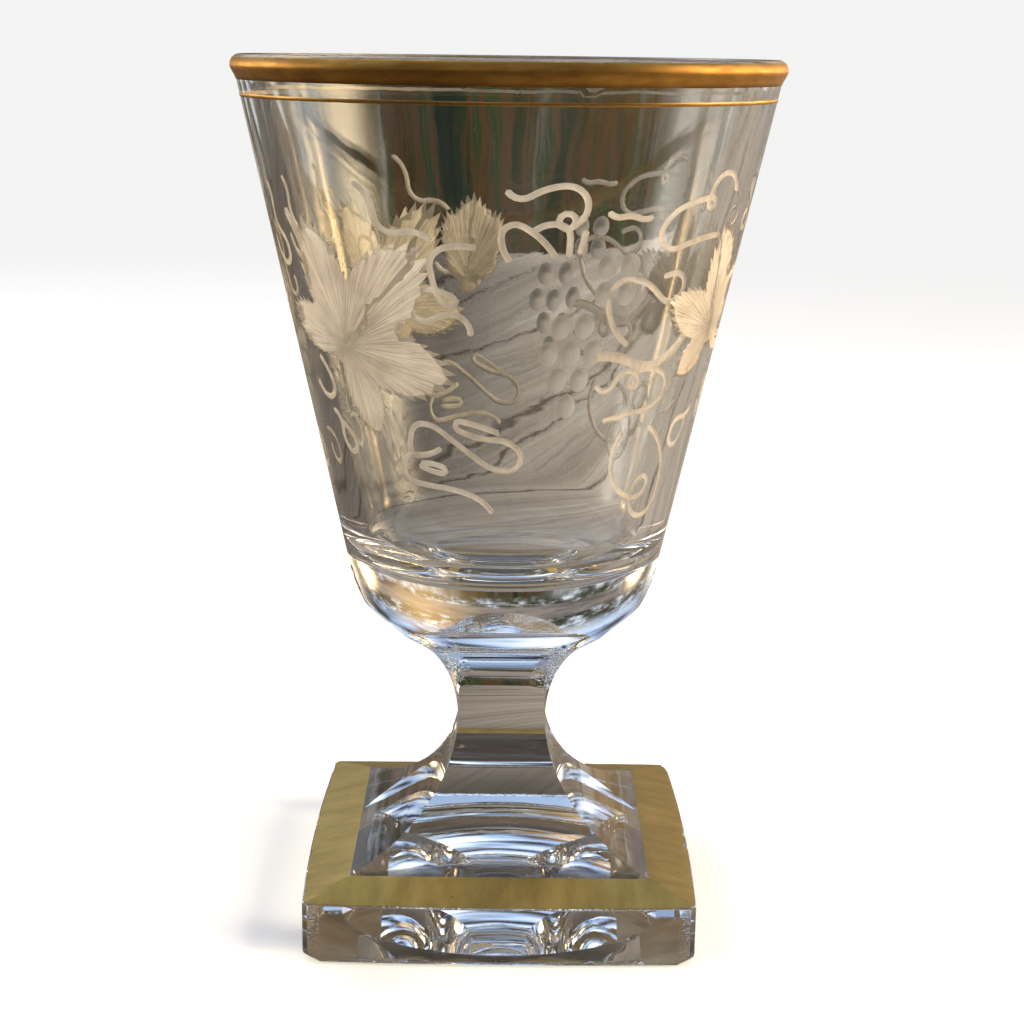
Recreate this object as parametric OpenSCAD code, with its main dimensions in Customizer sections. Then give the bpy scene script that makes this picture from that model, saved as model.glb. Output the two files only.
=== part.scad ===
// Gilt and engraved goblet on a square foot.
// Three gathers of clear glass joined hot (bowl, stem, foot) with fired gold laid on them.
// +Z is up, the origin is the middle of the footprint on the table, units are millimetres.

/* [Bowl] */
// Height of the whole glass
height = 135; // [125:1:150]
// Largest outside diameter, at the lip
rim_d = 84; // [78:1:90]
// Outside diameter at the shoulder ridge
ridge_d = 49.2; // [48:0.1:51]
// Height of the shoulder ridge above the table
ridge_z = 55.5; // [55:0.1:56]
// Radius of the gentle swell of the band under the ridge
band_r = 24; // [22:1:28]
// Lean of that band from upright, at the ridge
band_top_lean = 14; // [12:1:16]
// Lean of that band from upright, at its lower edge
band_low_lean = 35; // [33:1:37]
// Radius of the rounded edge below the band
band_edge_r = 1.2; // [1:0.1:2]
// Lean of the underside from upright, between that edge and the stem
under_lean = 58; // [56:1:60]
// Thickness of the wall below the lip
wall_t = 4.2; // [3:0.1:5]
// Height of the middle of the inside floor above the table
floor_z = 56.2; // [56:0.1:58]
// Radius of the flat middle of the floor
floor_flat_r = 9.5; // [8:0.5:11]
// Radius of the raised edge round the dished floor
dish_edge_r = 15.2; // [14:0.1:16]
// Slope of the dish where it meets that edge
dish_slope = 28; // [24:1:32]
// Slope outside that edge, where the fillet to the wall starts
fillet_slope = 10; // [8:1:14]

/* [Lip] */
// How far the fire-polished bead stands proud of the wall
bead_out = 0.45; // [0.1:0.05:0.8]
// Height of the swell below the widest point of the bead
bead_h = 2; // [1:0.1:3]
// Height of the rounding above the widest point of the bead
lip_h = 1.7; // [1:0.1:2]
// Width of the rounding at the outside of the lip
lip_out = 1.4; // [0.8:0.1:1.6]
// Width of the rounding at the inside of the lip
lip_in = 1.2; // [0.6:0.1:1.4]

/* [Stem] */
// Width of the square waist across its flats
waist_w = 14; // [12:0.5:16]
// Height of the waist above the table
waist_z = 31.6; // [31:0.1:32]
// Radius of the four hollow cuts below the waist
cut_r = 21; // [20.5:0.1:21.5]
// Radius of the four hollow cuts above the waist
high_cut_r = 19.4; // [19:0.1:19.8]
// Height of the joint between the stem and the bowl
top_joint_z = 44.5; // [44.2:0.1:44.8]
// Height of the joint between the foot and the stem
low_joint_z = 15; // [13:0.5:18]
// Diameter of the round neck that trims the corners of the square
neck_d = 20.2; // [20:0.1:21]
// Height at which the neck starts to trim the corners
neck_z = 33.5; // [33:0.1:34.5]

/* [Foot] */
// Width of the foot across its sides, measured at the corners
foot_w = 60; // [56:1:64]
// How far the middle of each side swells out
foot_crown = 0.8; // [0.2:0.1:1.2]
// Amount taken off each vertical corner, measured along the diagonal
corner_trim = 0.5; // [0.2:0.1:1]
// Further amount taken off each bottom corner
corner_foot_trim = 1.4; // [0.5:0.1:2]
// Height over which the bottom corners are trimmed
corner_foot_h = 1.6; // [0.5:0.1:2]
// Diameter of the hollow ground in the underside
dome_d = 50; // [40:1:54]
// Depth of the hollow in the underside
dome_h = 4.5; // [2:0.5:5]

/* [Gilding] */
// Thickness given to the fired gold
gold_t = 0.1; // [0.05:0.01:0.2]
// Width of the gilt slope on the foot, seen from above
gilt_slope_w = 6.8; // [5:0.1:8]
// Share of the lip's outer rounding that the gold climbs, in degrees
gilt_lip_angle = 50; // [30:5:60]
// Height of the clear gap under the lip band
line_gap = 1.9; // [1:0.1:3]
// Height of the thin gold line
line_h = 0.65; // [0.4:0.05:1]

/* [Hidden] */
$fn = 128;

// Lip: z of the widest point, and the swell below it
bead_z = height - lip_h;
swell_z = bead_z - bead_h;
rim_r = rim_d / 2;
ridge_r = ridge_d / 2;
cone_slope = (rim_r - bead_out - ridge_r) / (bead_z - ridge_z);
inner_rim_r = wall_r(bead_z) - wall_t;

// Inside floor: a dish with a raised edge, then a fillet tangent to the sloping wall
wall_angle = atan(cone_slope);
dish_r = (dish_edge_r - floor_flat_r) / sin(dish_slope);
dish_edge_z = floor_z + dish_r * (1 - cos(dish_slope));
fillet_share = 1 / cos(wall_angle) - sin(fillet_slope) - cone_slope * cos(fillet_slope);
fillet_r = (inner_r(dish_edge_z) - dish_edge_r) / fillet_share;
fillet_c = [dish_edge_r - fillet_r * sin(fillet_slope), dish_edge_z + fillet_r * cos(fillet_slope)];

// Shoulder: the swelling band, the rounded edge tangent to it, and the underside down to the joint
band_c = [ridge_r, ridge_z] - band_r * [cos(band_top_lean), -sin(band_top_lean)];
edge_c = band_c + (band_r - band_edge_r) * [cos(band_low_lean), -sin(band_low_lean)];
edge_low = edge_c + band_edge_r * [cos(under_lean), -sin(under_lean)];
joint_r = edge_low.x - (edge_low.y - top_joint_z) * tan(under_lean);

// Hollow cuts, and the arc of the neck from the waist out to the bowl
cut_y = waist_w / 2 + cut_r;
neck_rise = top_joint_z - neck_z;
neck_flare = joint_r - neck_d / 2;
neck_arc_r = (pow(neck_rise, 2) + pow(neck_flare, 2)) / (2 * neck_flare);
neck_arc_c = neck_d / 2 + neck_arc_r;
neck_sweep = asin(neck_rise / neck_arc_r);

// Foot: the gilt slope leaves the hollow cut along its tangent
gilt_in = foot_w / 2 - gilt_slope_w;
gilt_in_z = waist_z - sqrt(pow(cut_r, 2) - pow(cut_y - gilt_in, 2));
gilt_fall = (cut_y - gilt_in) / (waist_z - gilt_in_z);
foot_reach = foot_w / 2 + 2 * foot_crown;
crown_r = (pow(foot_w / 2, 2) + pow(foot_crown, 2)) / (2 * foot_crown);
corner_r = foot_w / sqrt(2) - corner_trim;
dome_r = (pow(dome_d / 2, 2) + pow(dome_h, 2)) / (2 * dome_h);
clear = 1;

// Outside and inside radius of the plain wall at height z
function wall_r(z) = ridge_r + cone_slope * (z - ridge_z);
function inner_r(z) = inner_rim_r + cone_slope * (z - bead_z);

// Points on an arc round c, from angle a to angle b
function arc(c, r, a, b, n) =
  [for (i = [0 : n]) c + r * [cos(a + (b - a) * i / n), sin(a + (b - a) * i / n)]];

// The swell under the bead, standing t proud of the glass
function swell(t, n = 6) =
  [for (i = [0 : n])
    let (s = i / n)
    [wall_r(swell_z + bead_h * s) + bead_out * pow(sin(90 * s), 2) + t, swell_z + bead_h * s]];

// The outer rounding of the lip up to angle a, standing t proud of the glass
function lip_round(t, a, n = 6) =
  [for (i = [1 : n])
    let (b = a * i / n)
    [rim_r - lip_out + (lip_out + t) * cos(b), bead_z + (lip_h + t) * sin(b)]];

// The inner rounding of the lip, from the flat top down to the inside wall
function lip_inside(n = 6) =
  [for (i = [0 : n])
    let (b = 90 * (1 - i / n))
    [inner_rim_r + lip_in * (1 - cos(b)), bead_z + lip_h * sin(b)]];

function reversed(list) = [for (i = [len(list) - 1 : -1 : 0]) list[i]];

// A list without its first point, which the curve before it already ends on
function tail(list) = [for (i = [1 : len(list) - 1]) list[i]];

// The cuts that hollow the four sides of the stem, the foot and the shoulder
module hollow_cuts() {
  for (side = [0 : 3])
    rotate([0, 0, 90 * side]) {
      half_cut(cut_r, -cut_r);
      half_cut(high_cut_r, 0);
    }
}

// Half of a level cylinder that touches the waist; the half kept starts at height low above its axis
module half_cut(r, low) {
  translate([-foot_w, -waist_w / 2 - r, waist_z])
    intersection() {
      rotate([0, 90, 0])
        cylinder(r = r, h = 2 * foot_w);
      translate([0, -r, low])
        cube([2 * foot_w, 2 * r, r]);
    }
}

// Plan of the foot: a square with swelling sides and trimmed corners
module foot_blank(h) {
  intersection() {
    for_side_swell(0, h);
    for_side_swell(1, h);
    for_side_swell(2, h);
    for_side_swell(3, h);
    union() {
      cylinder(r1 = corner_r - corner_foot_trim, r2 = corner_r, h = corner_foot_h);
      translate([0, 0, corner_foot_h])
        cylinder(r = corner_r, h = h - corner_foot_h);
    }
  }
}

// A wide cylinder whose edge is one swelling side of the foot
module for_side_swell(side, h) {
  rotate([0, 0, 90 * side])
    translate([0, crown_r - foot_w / 2 - foot_crown, 0])
      cylinder(r = crown_r, h = h, $fn = 720);
}

// Outline of one gilt slope, from its inner edge out past the side, between two heights
module slope_prism(low, high) {
  out = foot_reach - gilt_in;
  translate([-foot_w, 0, 0])
    rotate([90, 0, 90])
      linear_extrude(height = 2 * foot_w)
        polygon([
          [-gilt_in, gilt_in_z + low],
          [-gilt_in, gilt_in_z + high],
          [-foot_reach, gilt_in_z + high - (high > clear ? 0 : gilt_fall * out)],
          [-foot_reach, gilt_in_z + low - gilt_fall * out]
        ]);
}

// One gilt strip, mitred at both ends
module foot_gilding(side) {
  color("goldenrod")
    intersection() {
      rotate([0, 0, 90 * side])
        slope_prism(0, gold_t);
      rotate([0, 0, 90 * side])
        linear_extrude(height = foot_w)
          polygon([[0, 0], [-foot_w, -foot_w], [foot_w, -foot_w]]);
      foot_blank(low_joint_z);
    }
}

module bowl() {
  color([0.80, 0.86, 0.88, 0.5])
    difference() {
      rotate_extrude()
        polygon(concat(
          [[0, top_joint_z], [joint_r, top_joint_z]],
          arc(edge_c, band_edge_r, -under_lean, -band_low_lean, 4),
          tail(arc(band_c, band_r, -band_low_lean, -band_top_lean, 6)),
          swell(0),
          lip_round(0, 90),
          lip_inside(),
          arc(fillet_c, fillet_r, -wall_angle, fillet_slope - 90, 8),
          tail(arc([floor_flat_r, floor_z + dish_r], dish_r, dish_slope - 90, -90, 6)),
          [[0, floor_z]]
        ));
      hollow_cuts();
    }
}

module stem() {
  color([0.80, 0.86, 0.88, 0.5])
    intersection() {
      difference() {
        translate([-cut_r, -cut_r, low_joint_z])
          cube([2 * cut_r, 2 * cut_r, top_joint_z - low_joint_z]);
        hollow_cuts();
      }
      rotate_extrude()
        polygon(concat(
          [[0, low_joint_z - clear], [foot_w, low_joint_z - clear], [foot_w, neck_z]],
          reversed(arc([neck_arc_c, neck_z], neck_arc_r, 180 - neck_sweep, 180, 8)),
          [[0, top_joint_z]]
        ));
    }
}

module foot() {
  color([0.80, 0.86, 0.88, 0.5])
    difference() {
      foot_blank(low_joint_z);
      hollow_cuts();
      for (side = [0 : 3])
        rotate([0, 0, 90 * side])
          slope_prism(0, low_joint_z);
      translate([0, 0, dome_h - dome_r])
        sphere(r = dome_r);
    }
}

module rim_gilding() {
  color("darkgoldenrod")
    rotate_extrude()
      polygon(concat(
        swell(gold_t),
        lip_round(gold_t, gilt_lip_angle),
        reversed(concat(swell(0), lip_round(0, gilt_lip_angle)))
      ));
}

module rim_gold_line() {
  top = swell_z - line_gap;
  low = top - line_h;
  color("gold")
    rotate_extrude()
      polygon([
        [wall_r(low), low],
        [wall_r(low) + gold_t, low],
        [wall_r(top) + gold_t, top],
        [wall_r(top), top]
      ]);
}

module foot_gilding_front() {
  foot_gilding(0);
}

module foot_gilding_right() {
  foot_gilding(1);
}

module foot_gilding_back() {
  foot_gilding(2);
}

module foot_gilding_left() {
  foot_gilding(3);
}

bowl();
stem();
foot();
rim_gilding();
rim_gold_line();
foot_gilding_front();
foot_gilding_right();
foot_gilding_back();
foot_gilding_left();
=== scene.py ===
import random
from math import atan, cos, degrees, exp, hypot, pi, radians, sin, sqrt, tan

import bpy
import numpy as np
from mathutils import Matrix, Vector
from mathutils.geometry import delaunay_2d_cdt
from mathutils.kdtree import KDTree


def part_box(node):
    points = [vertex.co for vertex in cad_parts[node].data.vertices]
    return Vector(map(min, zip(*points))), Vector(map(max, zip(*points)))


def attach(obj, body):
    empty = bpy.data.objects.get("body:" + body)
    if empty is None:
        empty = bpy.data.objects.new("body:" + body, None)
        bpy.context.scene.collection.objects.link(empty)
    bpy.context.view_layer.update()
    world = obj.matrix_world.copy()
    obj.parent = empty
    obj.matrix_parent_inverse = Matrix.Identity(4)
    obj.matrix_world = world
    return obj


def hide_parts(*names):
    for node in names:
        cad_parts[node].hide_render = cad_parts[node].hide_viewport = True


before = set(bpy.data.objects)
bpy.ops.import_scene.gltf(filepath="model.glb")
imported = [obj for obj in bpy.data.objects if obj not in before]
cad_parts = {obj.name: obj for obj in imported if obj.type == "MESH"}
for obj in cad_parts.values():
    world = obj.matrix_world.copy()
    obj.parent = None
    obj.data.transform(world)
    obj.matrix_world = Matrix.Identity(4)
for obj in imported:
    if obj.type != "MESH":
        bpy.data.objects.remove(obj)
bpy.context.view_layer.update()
scene = bpy.context.scene

# Gilt and engraved goblet on a square foot. Lengths below are millimetres; meshes are made in metres.
MM = 0.001
TAU = 2 * pi
QUARTER = pi / 2
EIGHTH = pi / 4


def low(node):
    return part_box(node)[0] / MM


def high(node):
    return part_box(node)[1] / MM


# ---- sizes
HEIGHT = high("bowl").z
LOW_JOINT = low("stem").z
TOP_JOINT = high("stem").z
SWELL_Z = low("rim_gilding").z
LINE_LOW = low("rim_gold_line").z
LINE_TOP = high("rim_gold_line").z
FOOT_REACH = high("foot").x

LIP_H, LIP_OUT, LIP_IN = 1.7, 1.4, 1.2
RIM_R, BEAD_OUT = 42.0, 0.45
BEAD_Z = HEIGHT - LIP_H
RIDGE_R, RIDGE_Z = 24.6, 55.5
BAND_R, BAND_TOP_LEAN, BAND_LOW_LEAN = 24.0, radians(14), radians(35)
EDGE_R, UNDER_LEAN = 1.2, radians(58)
WALL_T, FLOOR_Z = 4.2, 56.2
DISH_FLAT, DISH_R, DISH_LEAN, FILLET_LEAN = 9.5, 15.2, radians(28), radians(10)
CONE = (RIM_R - BEAD_OUT - RIDGE_R) / (BEAD_Z - RIDGE_Z)
WALL_ANGLE = atan(CONE)

WAIST_HALF, WAIST_Z, CUT_R, HIGH_CUT_R = 7.0, 31.6, 21.0, 19.4
CUT_Y = WAIST_HALF + CUT_R
NECK_R, NECK_Z = 10.1, 33.5

CROWN = 0.8
FOOT_HALF = FOOT_REACH - CROWN
CROWN_R = (FOOT_HALF ** 2 + CROWN ** 2) / (2 * CROWN)
CORNER_R = FOOT_HALF * sqrt(2) - 0.5
CORNER_LOW_R, CORNER_LOW_H = CORNER_R - 1.4, 1.6
GILT_IN = FOOT_HALF - 6.8
DOME_HALF, DOME_H = 25.0, 4.5
DOME_R = (DOME_HALF ** 2 + DOME_H ** 2) / (2 * DOME_H)

GOLD_OUT, GOLD_IN = 0.085, 0.03
GILT_LIP_ANGLE = radians(50)


def wall_r(z):
    return RIDGE_R + CONE * (z - RIDGE_Z)


INNER_RIM_R = wall_r(BEAD_Z) - WALL_T


def inner_r(z):
    return INNER_RIM_R + CONE * (z - BEAD_Z)


# The inside floor has a shallow dish; the fillet starts at its edge and is tangent to the wall
DISH_ARC = (DISH_R - DISH_FLAT) / sin(DISH_LEAN)
DISH_Z = FLOOR_Z + DISH_ARC * (1 - cos(DISH_LEAN))
FILLET_R = (inner_r(DISH_Z) - DISH_R) / (
    1 / cos(WALL_ANGLE) - sin(FILLET_LEAN) - CONE * cos(FILLET_LEAN))
FILLET_CR = DISH_R - FILLET_R * sin(FILLET_LEAN)
FILLET_CZ = DISH_Z + FILLET_R * cos(FILLET_LEAN)


def cut_w(z):
    """Half width left by the hollow cuts at height z."""
    radius = HIGH_CUT_R if z > WAIST_Z else CUT_R
    return WAIST_HALF + radius - sqrt(radius ** 2 - (z - WAIST_Z) ** 2)


# The shoulder: a swelling band under the ridge, its rounded edge, then the underside down to the stem
BAND_CR = RIDGE_R - BAND_R * cos(BAND_TOP_LEAN)
BAND_CZ = RIDGE_Z + BAND_R * sin(BAND_TOP_LEAN)
BAND_LOW_Z = BAND_CZ - BAND_R * sin(BAND_LOW_LEAN)
EDGE_CR = BAND_CR + (BAND_R - EDGE_R) * cos(BAND_LOW_LEAN)
EDGE_CZ = BAND_CZ - (BAND_R - EDGE_R) * sin(BAND_LOW_LEAN)
EDGE_LOW_R, EDGE_LOW_Z = EDGE_CR + EDGE_R * cos(UNDER_LEAN), EDGE_CZ - EDGE_R * sin(UNDER_LEAN)


def shoulder_r(z):
    if z > BAND_LOW_Z:
        return BAND_CR + sqrt(BAND_R ** 2 - (BAND_CZ - z) ** 2)
    if z > EDGE_LOW_Z:
        return EDGE_CR + sqrt(EDGE_R ** 2 - (EDGE_CZ - z) ** 2)
    return EDGE_LOW_R - (EDGE_LOW_Z - z) * tan(UNDER_LEAN)


NECK_RISE = TOP_JOINT - NECK_Z
NECK_FLARE = shoulder_r(TOP_JOINT) - NECK_R
NECK_ARC = (NECK_RISE ** 2 + NECK_FLARE ** 2) / (2 * NECK_FLARE)


def neck_r(z):
    """Radius of the round neck that trims the corners of the stem."""
    if z <= NECK_Z:
        return CUT_R
    return NECK_R + NECK_ARC - sqrt(NECK_ARC ** 2 - (z - NECK_Z) ** 2)


GILT_Z = WAIST_Z - sqrt(CUT_R ** 2 - (CUT_Y - GILT_IN) ** 2)
GILT_FALL = (CUT_Y - GILT_IN) / (WAIST_Z - GILT_Z)


def bisect(test, low_end, high_end):
    """The place between the two ends where test stops being true."""
    for _ in range(50):
        middle = (low_end + high_end) / 2
        low_end, high_end = (middle, high_end) if test(middle) else (low_end, middle)
    return low_end


def ripple(seed, waves, first=1):
    """A smooth periodic wobble of about one either way, as a function of an angle."""
    rng = random.Random(seed)
    parts = [(k, rng.uniform(0, TAU), rng.uniform(0.4, 1)) for k in range(first, first + waves)]
    total = sum(size for _, _, size in parts) / 2
    return lambda a: sum(size * sin(k * a + phase) for k, phase, size in parts) / total


# ---- meshes
def polar(a, r, z):
    return (r * cos(a), r * sin(a), z)


# Surface numbers, or the first of several. An edge between two surfaces is sharp.
JOINT, SHOULDER, WALL, MOUTH, DISH = 1, 2, 3, 4, 5
HOLLOW_CUTS, FRIEZE = 10, 40
SLOPES, SIDE_EDGE, SIDES, BEVELS, REST, UNDERSIDE, DOME = 20, 30, 40, 50, 60, 61, 62
GOLD_FRONT, GOLD_BACK, GOLD_RIM, GOLD_END = 1, 2, 3, 4


def placed(name, data):
    thing = bpy.data.objects.new(name, data)
    scene.collection.objects.link(thing)
    return thing


class Skin:
    """Gathers faces, joins equal points, and keeps each face's surface number and finish."""

    def __init__(self):
        self.points, self.index, self.faces = [], {}, []
        self.surface, self.finish, self.marks = [], [], {}

    def point(self, p, **marks):
        key = tuple(round(x, 4) for x in p)
        if key not in self.index:
            self.index[key] = len(self.points)
            self.points.append(tuple(p))
        i = self.index[key]
        for name, value in marks.items():
            self.marks.setdefault(name, {})[i] = value
        return i

    def at(self, a, r, z, **marks):
        return self.point(polar(a, r, z), **marks)

    def ring(self, around, z, **marks):
        return [self.at(a, r, z, **marks) for a, r in around]

    def face(self, corners, surface, finish=0):
        ring = [c for n, c in enumerate(corners) if c != corners[n - 1]]
        if len(set(ring)) > 2:
            self.faces.append(ring)
            self.surface.append(surface)
            self.finish.append(finish)

    def grid(self, rows, surface, finish=0, closed=True):
        """Faces between rows of point numbers; surface may depend on the column."""
        for below, above in zip(rows, rows[1:]):
            count = len(below)
            for c in range(count if closed else count - 1):
                d = (c + 1) % count
                number = surface(c) if callable(surface) else surface
                self.face([below[c], below[d], above[d], above[c]], number, finish)

    def fan(self, row, z, surface, finish=0):
        centre = self.point((0, 0, z))
        for c, start in enumerate(row):
            self.face([start, row[(c + 1) % len(row)], centre], surface, finish)


def build(name, skin, materials, cad_node, cone_surface=None):
    """Makes the mesh object, with sharp edges where surfaces meet, and places it in the frame."""
    mesh = bpy.data.meshes.new(name)
    mesh.from_pydata([(x * MM, y * MM, z * MM) for x, y, z in skin.points], [], skin.faces)
    for material in materials:
        mesh.materials.append(material)
    mesh.polygons.foreach_set("material_index", skin.finish)
    mesh.polygons.foreach_set("use_smooth", [True] * len(skin.faces))
    sides = {}
    for number, polygon in enumerate(mesh.polygons):
        for key in polygon.edge_keys:
            sides.setdefault(key, set()).add(skin.surface[number])
    mesh.edges.foreach_set("use_edge_sharp", [len(sides[e.key]) > 1 for e in mesh.edges])
    for mark, values in skin.marks.items():
        wide = hasattr(next(iter(values.values())), "__len__")
        layer = mesh.attributes.new(mark, "FLOAT_VECTOR" if wide else "FLOAT", "POINT")
        blank = (0.0, 0.0, 0.0) if wide else 0.0
        data = [values.get(i, blank) for i in range(len(skin.points))]
        layer.data.foreach_set("vector" if wide else "value", np.ravel(data))
    mesh.update()
    if cone_surface is not None:
        def cone_normal(v):
            x, y, _ = skin.points[v]
            out = cos(WALL_ANGLE) / hypot(x, y)
            return x * out, y * out, -sin(WALL_ANGLE)

        mesh.normals_split_custom_set([
            cone_normal(v) if number == cone_surface else (0, 0, 0)
            for number, polygon in zip(skin.surface, mesh.polygons) for v in polygon.vertices])
    piece = placed(name, mesh)
    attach(piece, "root")
    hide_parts(cad_node)


# ---- four-sided sections
FACE_COLUMNS = 16
CORNER_COLUMNS = 4
SIDE_COLUMNS = 2 * FACE_COLUMNS + CORNER_COLUMNS


def on_corner(column):
    return column % SIDE_COLUMNS >= 2 * FACE_COLUMNS


def off_middle(a):
    """Angle from the middle of the nearest side."""
    return a - round(a / QUARTER) * QUARTER


def section(face_r, round_r):
    """Angle and radius round a section: face_r(angle from the side's middle), cut off at round_r."""
    limit = EIGHTH
    if face_r(EIGHTH) > round_r:
        limit = bisect(lambda phi: face_r(phi) < round_r, 0, EIGHTH)
    corner = min(round_r, face_r(limit))
    out = []
    for side in range(4):
        for j in range(-FACE_COLUMNS, FACE_COLUMNS + 1):
            phi = limit * j / FACE_COLUMNS
            out.append((side * QUARTER + phi, face_r(phi)))
        for k in range(1, CORNER_COLUMNS):
            phi = limit + (QUARTER - 2 * limit) * k / CORNER_COLUMNS
            out.append((side * QUARTER + phi, corner))
    return out


def flat(half):
    return lambda phi: half / cos(phi)


def stem_section(z):
    return section(flat(cut_w(z)), neck_r(z))


def side_swell(phi):
    """Distance from the axis to the swelling side of the foot."""
    k = CROWN_R - FOOT_REACH
    c = k * cos(phi)
    return sqrt(c * c - k * k + CROWN_R ** 2) - c


# ---- the engraved frieze, laid out flat
# u runs round the bowl, on a circle of radius UNROLL; z is the height. The seam is on the +X side.
UNROLL = 33.0
SEAM_BEARING = 270
POLISHED, MATTE, LENS, LINE = 0, 1, 2, 3
STEP = 0.7
CUT_MARGIN = 0.3
STROKE_DEPTH, LEAF_DEPTH, GRAPE_DEPTH = 0.2, 0.55, 0.3


def around(bearing):
    """u of a bearing in degrees from the front, to the right."""
    return radians((bearing + SEAM_BEARING) % 360) * UNROLL


class Cut:
    """One cut of the frieze: its outline, lines and points in it, and what it does at given places."""

    def __init__(self, kind, outline, lines, points, depth, grain):
        self.kind, self.outline, self.lines, self.points = kind, outline, lines, points
        self.depth, self.grain = depth, grain
        everything = np.concatenate([outline, *lines, points])
        self.low, self.high = everything.min(0) - CUT_MARGIN, everything.max(0) + CUT_MARGIN


def stroke_cut(bearing, z, heading, arcs, width):
    """A groove along a chain of arcs, each a turn in degrees over a length."""
    x, y, a = around(bearing), z, radians(heading)
    path = [(x, y)]
    for turn, length in arcs:
        steps = max(2, round(length / STEP))
        for _ in range(steps):
            a += radians(turn) / steps / 2
            x += cos(a) * length / steps
            y += sin(a) * length / steps
            a += radians(turn) / steps / 2
            path.append((x, y))
    path = np.array(path)
    along = np.gradient(path, axis=0)
    along /= np.linalg.norm(along, axis=1)[:, None]
    left = np.stack([-along[:, 1], along[:, 0]], 1)
    half = width / 2
    cap = along[[0, -1]] * half * 0.6
    outline = np.concatenate([
        path + left * half, [path[-1] + cap[1]], (path - left * half)[::-1], [path[0] - cap[0]]])
    points = np.concatenate([path, path + left * half * 0.55, path - left * half * 0.55])

    def depth_at(p):
        start, end = path[:-1], path[1:]
        seg = end - start
        t = ((p[:, None] - start) * seg).sum(2) / (seg ** 2).sum(1)
        near = start + np.clip(t, 0, 1)[..., None] * seg
        d = np.linalg.norm(p[:, None] - near, axis=2).min(1) / half
        return STROKE_DEPTH * np.clip(1 - d ** 2, 0, 1) ** 0.7

    def grain_at(p):
        return np.column_stack([p * 0.12, np.ones(len(p))])

    return Cut(LINE, outline, [], points, depth_at, grain_at)


# Lobes of a leaf: degrees from where it aims, and length as a share of the leaf's size
LOBES = ((0, 1.0), (57, 0.88), (-57, 0.88), (116, 0.66), (-116, 0.66))
FAN = ((0, 1.0), (21, 0.88), (-21, 0.84), (54, 0.46), (-54, 0.42))
TOOTH, TEETH, LEAF_HEART = 4.5, 0.055, 0.14


def leaf_cut(bearing, z, size, aim, lobes):
    """A vine leaf of five lobes. Each lobe slopes from its sides down to its vein."""
    centre = np.array([around(bearing), z])

    def swing(theta, lobe):
        return np.abs((theta - lobe + 180) % 360 - 180)

    def reach(theta):
        return np.maximum(LEAF_HEART, np.maximum.reduce([
            length * (1 - 0.58 * (swing(theta, lobe) / 33) ** 1.35) for lobe, length in lobes]))

    def vein(theta):
        return np.maximum(0, np.maximum.reduce([1 - swing(theta, lobe) / 30 for lobe, _ in lobes]))

    def place(theta, r):
        a = np.radians(theta + aim)
        return centre + np.stack([np.cos(a), np.sin(a)], -1) * (r * size)[..., None]

    tips = np.arange(0, 360, TOOTH)
    theta = np.sort(np.concatenate([tips, tips + TOOTH * 0.6]))
    rise = np.where(np.isin(theta, tips), 1, -1) * TEETH
    outline = place(theta, reach(theta) * (1 + rise))
    lines = [place(lobe, np.linspace(0, 0.96 * length, 12)) for lobe, length in lobes]
    inner = [place(t, reach(t) * np.linspace(0.15, 0.9, 9)) for t in np.arange(2, 360, 5.0)]

    def split(p):
        x, y = (p - centre).T
        return np.degrees(np.arctan2(y, x)) - aim, np.hypot(x, y) / size

    def depth_at(p):
        theta, r = split(p)
        step = theta % TOOTH / TOOTH
        saw = np.where(step < 0.6, 1 - step / 0.3, (step - 0.6) / 0.2 - 1)
        edge = np.clip((reach(theta) * (1 + TEETH) - r) / 0.09, 0, 1)
        deep = LEAF_DEPTH * (0.35 + 0.65 * vein(theta)) * edge * np.clip(0.4 + r / 0.3, 0, 1)
        return np.where(r < reach(theta) * (1 + TEETH * saw), deep, 0)

    def grain_at(p):
        theta, r = split(p)
        return np.column_stack([np.radians(theta % 360) * 12, r * 2, np.full(len(p), 2.0)])

    return Cut(MATTE, outline, lines, np.concatenate(inner), depth_at, grain_at)


GRAPE_SIZE = np.array([2.9, 3.7])
GRAPE_PITCH, GRAPE_DROP = 3.3, 3.9


def grape_cut(bearing, z, lean):
    """A polished oval lens."""
    centre = np.array([around(bearing), z])
    axes = GRAPE_SIZE / 2
    c, s = cos(radians(lean)), sin(radians(lean))
    turn = np.array([[c, s], [-s, c]])

    def ring(share, count):
        a = np.arange(count) * TAU / count
        return centre + (np.stack([np.cos(a), np.sin(a)], 1) * axes * share) @ turn

    def depth_at(p):
        local = (p - centre) @ turn.T / axes
        return GRAPE_DEPTH * np.clip(1 - (local ** 2).sum(1), 0, 1)

    def grain_at(p):
        return np.column_stack([p, np.full(len(p), 0.5)])

    points = np.concatenate([[centre], ring(0.4, 7), ring(0.75, 12)])
    return Cut(LENS, ring(1, 20), [], points, depth_at, grain_at)


# One half of the frieze: leaves by bearing, height, size and aim; bunches by bearing, height and grapes in
# each row; strokes by bearing, height, heading and arcs. The two halves differ in FAR_LEAF and FRONT_STROKES.
LEAVES = (
    (-45, 94, 21, 46),
    (66, 96, 16, 100),
)
FAR_LEAF = (-12.5, 97.5, 14, 88)
BUNCHES = (
    (16, 98.5, (2, 3, 2, 1)),
    (26, 107, (2, 2)),
    (-88, 92, (3, 2, 1)),
)
TENDRIL_WIDTH, STALK_WIDTH = 0.9, 1.5
FRONT_STROKES = (
    (0, 117.5, -60, ((95, 3.2), (-30, 4.2), (-130, 6.5), (-30, 2), (-340, 6.2))),
    (0.5, 108, 125, ((-35, 3.5), (-120, 3.6), (-30, 6))),
    (5.5, 112, 45, ((-55, 3.5), (-80, 2.5), (0, 2.5))),
    (17, 112, -95, ((-10, 3),)),
)
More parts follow.
